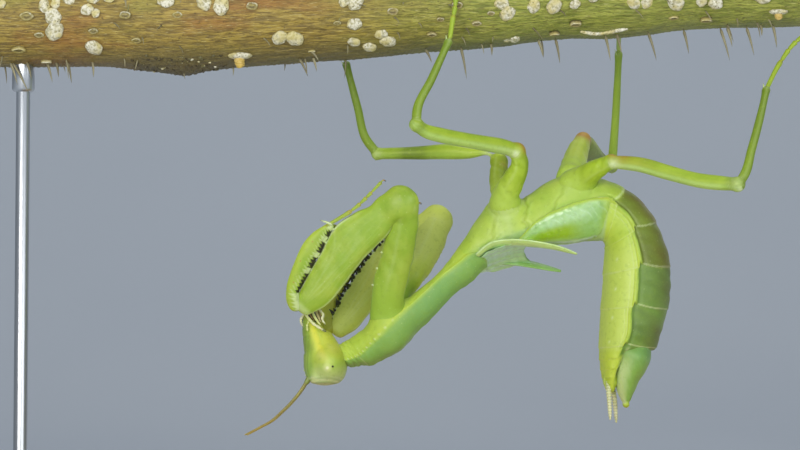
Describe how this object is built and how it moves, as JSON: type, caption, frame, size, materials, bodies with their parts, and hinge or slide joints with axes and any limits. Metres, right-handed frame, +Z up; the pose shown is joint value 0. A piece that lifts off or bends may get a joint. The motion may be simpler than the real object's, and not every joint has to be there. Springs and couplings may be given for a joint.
{
  "type": "praying mantis model",
  "caption": "Life-size green praying mantis nymph hanging under a cut twig, cleaning its front leg, on a flat base with two rods.",
  "frame": {"origin": "middle of the base's underside", "axes": "+Z up; +X along the base, from the head's side to the abdomen's side; -Y is the animal's right side"},
  "size_m": [0.106, 0.048, 0.0673],
  "materials": {
    "body_cuticle": "satin",
    "abdomen_cuticle": "satin",
    "foreleg_cuticle": "satin",
    "leg_cuticle": "satin",
    "wing_pad": "gloss",
    "pale_cuticle": "satin",
    "eye": "gloss",
    "antenna": "satin",
    "bark": "matt",
    "base": "satin",
    "rod": "brushed"
  },
  "bodies": {
    "root": {"prothorax": "body_cuticle", "mesothorax": "body_cuticle", "metathorax": "body_cuticle", "abdomen_base": "abdomen_cuticle", "abdomen_front": "abdomen_cuticle", "abdomen_middle": "abdomen_cuticle", "abdomen_rear": "abdomen_cuticle", "abdomen_tip": "abdomen_cuticle", "cercus_right": "pale_cuticle", "cercus_left": "pale_cuticle", "head": "body_cuticle", "neck": "body_cuticle", "mouthparts": "pale_cuticle", "eye_right": "eye", "palp_right": "pale_cuticle", "antenna_right": "antenna", "eye_left": "eye", "palp_left": "pale_cuticle", "antenna_left": "antenna", "wing_pad_right": "wing_pad", "wing_pad_left": "wing_pad", "hind_wing_pad_right": "wing_pad", "hind_wing_pad_left": "wing_pad", "coxa_fore_right": "foreleg_cuticle", "femur_fore_right": "foreleg_cuticle", "tibia_fore_right": "foreleg_cuticle", "tarsus_fore_right": "foreleg_cuticle", "coxa_fore_left": "foreleg_cuticle", "femur_fore_left": "foreleg_cuticle", "tibia_fore_left": "foreleg_cuticle", "tarsus_fore_left": "foreleg_cuticle", "coxa_mid_right": "leg_cuticle", "femur_mid_right": "leg_cuticle", "tibia_mid_right": "leg_cuticle", "tarsus_mid_right": "leg_cuticle", "coxa_mid_left": "leg_cuticle", "femur_mid_left": "leg_cuticle", "tibia_mid_left": "leg_cuticle", "tarsus_mid_left": "leg_cuticle", "coxa_hind_right": "leg_cuticle", "femur_hind_right": "leg_cuticle", "tibia_hind_right": "leg_cuticle", "tarsus_hind_right": "leg_cuticle", "coxa_hind_left": "leg_cuticle", "femur_hind_left": "leg_cuticle", "tibia_hind_left": "leg_cuticle", "tarsus_hind_left": "leg_cuticle", "perch_twig": "bark", "stand_base": "base", "stand_rod_left": "rod", "stand_rod_right": "rod"}
  },
  "joints": []
}
